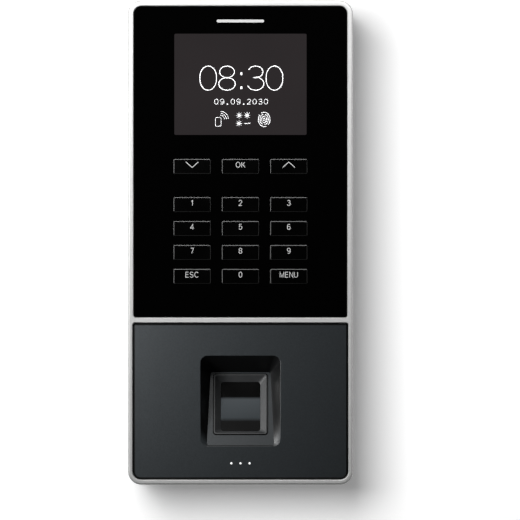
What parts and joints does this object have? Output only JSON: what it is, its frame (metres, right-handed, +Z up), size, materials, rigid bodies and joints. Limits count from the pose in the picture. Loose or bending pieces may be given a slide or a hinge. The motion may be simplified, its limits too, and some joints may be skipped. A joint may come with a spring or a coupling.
{
  "type": "fingerprint scanner terminal",
  "caption": "Wall-mounted fingerprint time terminal: silver frame, black panel with display and keys, and a finger sensor in a tilted recess.",
  "frame": {"origin": "centre of the four wall screws, on the wall plate's back face", "axes": "+Z up the terminal's length, front towards -Y, +Y into the wall"},
  "size_m": [0.095, 0.04, 0.2044],
  "materials": {
    "zinc_steel": "zinc plated sheet, satin",
    "housing_abs": "fine spark texture",
    "silver_paint": "satin silver paint",
    "black_gloss": "polished",
    "key_gloss": "polished, pale bevels",
    "clear_window": "clear, lightly tinted",
    "display_glass": "dark lit display",
    "textured_panel": "fine grain, satin",
    "bezel_plastic": "satin grey",
    "prism_glass": "polished dark glass",
    "light_pipe": "clear, lit white",
    "dark_plastic": "moulded",
    "white_plastic": "moulded",
    "circuit_board": "green solder mask",
    "silicone": "matt",
    "foam": "open foam",
    "tape": "matt film",
    "tin_plate": "bright tin",
    "can_aluminium": "satin can",
    "screw_steel": "nickel plated",
    "flex_film": "amber film",
    "lead_sleeve": "soft sleeve"
  },
  "bodies": {
    "wall_plate": {"wall_plate": "zinc_steel"},
    "terminal": {"battery_holder": "dark_plastic", "board_capacitors": "can_aluminium", "board_chips": "dark_plastic", "board_connectors": "white_plastic", "board_screws": "screw_steel", "case_screws": "screw_steel", "coin_cell": "tin_plate", "dc_jack": "dark_plastic", "display_flex": "flex_film", "display_window": "clear_window", "ethernet_jack": "tin_plate", "front_board": "circuit_board", "front_board_screws": "screw_steel", "front_frame": "silver_paint", "keypad_membrane": "silicone", "lcd_backlight": "white_plastic", "lcd_frame": "dark_plastic", "lcd_glass": "display_glass", "lens_panel": "black_gloss", "lens_tape": "tape", "lock_screw": "screw_steel", "main_board": "circuit_board", "rear_housing": "housing_abs", "rfid_antenna": "circuit_board", "sensor_bezel": "bezel_plastic", "sensor_board": "circuit_board", "sensor_cable": "lead_sleeve", "sensor_housing": "dark_plastic", "sensor_lens": "prism_glass", "sensor_panel": "textured_panel", "sensor_panel_tape": "tape", "sensor_prism": "prism_glass", "shield_can": "tin_plate", "speaker": "dark_plastic", "speaker_gasket": "foam", "speaker_leads": "lead_sleeve", "status_board": "circuit_board", "status_leds": "white_plastic", "status_light_pipes": "light_pipe", "tamper_switch": "dark_plastic", "usb_port": "tin_plate", "wifi_antenna": "circuit_board", "wifi_lead": "lead_sleeve"},
    "tamper_plunger": {"tamper_plunger": "white_plastic"},
    "key_0": {"key_0": "key_gloss"},
    "key_1": {"key_1": "key_gloss"},
    "key_2": {"key_2": "key_gloss"},
    "key_3": {"key_3": "key_gloss"},
    "key_4": {"key_4": "key_gloss"},
    "key_5": {"key_5": "key_gloss"},
    "key_6": {"key_6": "key_gloss"},
    "key_7": {"key_7": "key_gloss"},
    "key_8": {"key_8": "key_gloss"},
    "key_9": {"key_9": "key_gloss"},
    "key_down": {"key_down": "key_gloss"},
    "key_esc": {"key_esc": "key_gloss"},
    "key_menu": {"key_menu": "key_gloss"},
    "key_ok": {"key_ok": "key_gloss"},
    "key_up": {"key_up": "key_gloss"}
  },
  "joints": [
    {"name": "terminal_swing", "type": "hinge", "parent": "wall_plate", "child": "terminal", "pos_m": [0, -0.006, 0.086], "axis": [-1, 0, 0], "range_deg": [0, 7]},
    {"name": "tamper_slide", "type": "slide", "parent": "terminal", "child": "tamper_plunger", "axis": [0, 1, 0], "range_m": [0, 0.0015]},
    {"name": "press_0", "type": "slide", "parent": "terminal", "child": "key_0", "axis": [0, 1, 0], "range_m": [0, 0.0008], "stiffness_N_per_m": 600, "springref_m": -0.001, "deforming": ["keypad_membrane"]},
    {"name": "press_1", "type": "slide", "parent": "terminal", "child": "key_1", "axis": [0, 1, 0], "range_m": [0, 0.0008], "stiffness_N_per_m": 600, "springref_m": -0.001, "deforming": ["keypad_membrane"]},
    {"name": "press_2", "type": "slide", "parent": "terminal", "child": "key_2", "axis": [0, 1, 0], "range_m": [0, 0.0008], "stiffness_N_per_m": 600, "springref_m": -0.001, "deforming": ["keypad_membrane"]},
    {"name": "press_3", "type": "slide", "parent": "terminal", "child": "key_3", "axis": [0, 1, 0], "range_m": [0, 0.0008], "stiffness_N_per_m": 600, "springref_m": -0.001, "deforming": ["keypad_membrane"]},
    {"name": "press_4", "type": "slide", "parent": "terminal", "child": "key_4", "axis": [0, 1, 0], "range_m": [0, 0.0008], "stiffness_N_per_m": 600, "springref_m": -0.001, "deforming": ["keypad_membrane"]},
    {"name": "press_5", "type": "slide", "parent": "terminal", "child": "key_5", "axis": [0, 1, 0], "range_m": [0, 0.0008], "stiffness_N_per_m": 600, "springref_m": -0.001, "deforming": ["keypad_membrane"]},
    {"name": "press_6", "type": "slide", "parent": "terminal", "child": "key_6", "axis": [0, 1, 0], "range_m": [0, 0.0008], "stiffness_N_per_m": 600, "springref_m": -0.001, "deforming": ["keypad_membrane"]},
    {"name": "press_7", "type": "slide", "parent": "terminal", "child": "key_7", "axis": [0, 1, 0], "range_m": [0, 0.0008], "stiffness_N_per_m": 600, "springref_m": -0.001, "deforming": ["keypad_membrane"]},
    {"name": "press_8", "type": "slide", "parent": "terminal", "child": "key_8", "axis": [0, 1, 0], "range_m": [0, 0.0008], "stiffness_N_per_m": 600, "springref_m": -0.001, "deforming": ["keypad_membrane"]},
    {"name": "press_9", "type": "slide", "parent": "terminal", "child": "key_9", "axis": [0, 1, 0], "range_m": [0, 0.0008], "stiffness_N_per_m": 600, "springref_m": -0.001, "deforming": ["keypad_membrane"]},
    {"name": "press_down", "type": "slide", "parent": "terminal", "child": "key_down", "axis": [0, 1, 0], "range_m": [0, 0.0008], "stiffness_N_per_m": 600, "springref_m": -0.001, "deforming": ["keypad_membrane"]},
    {"name": "press_esc", "type": "slide", "parent": "terminal", "child": "key_esc", "axis": [0, 1, 0], "range_m": [0, 0.0008], "stiffness_N_per_m": 600, "springref_m": -0.001, "deforming": ["keypad_membrane"]},
    {"name": "press_menu", "type": "slide", "parent": "terminal", "child": "key_menu", "axis": [0, 1, 0], "range_m": [0, 0.0008], "stiffness_N_per_m": 600, "springref_m": -0.001, "deforming": ["keypad_membrane"]},
    {"name": "press_ok", "type": "slide", "parent": "terminal", "child": "key_ok", "axis": [0, 1, 0], "range_m": [0, 0.0008], "stiffness_N_per_m": 600, "springref_m": -0.001, "deforming": ["keypad_membrane"]},
    {"name": "press_up", "type": "slide", "parent": "terminal", "child": "key_up", "axis": [0, 1, 0], "range_m": [0, 0.0008], "stiffness_N_per_m": 600, "springref_m": -0.001, "deforming": ["keypad_membrane"]}
  ],
  "couplings": [
    {"joint": "tamper_slide", "follows": "terminal_swing", "m_per_rad": 0.012265}
  ]
}
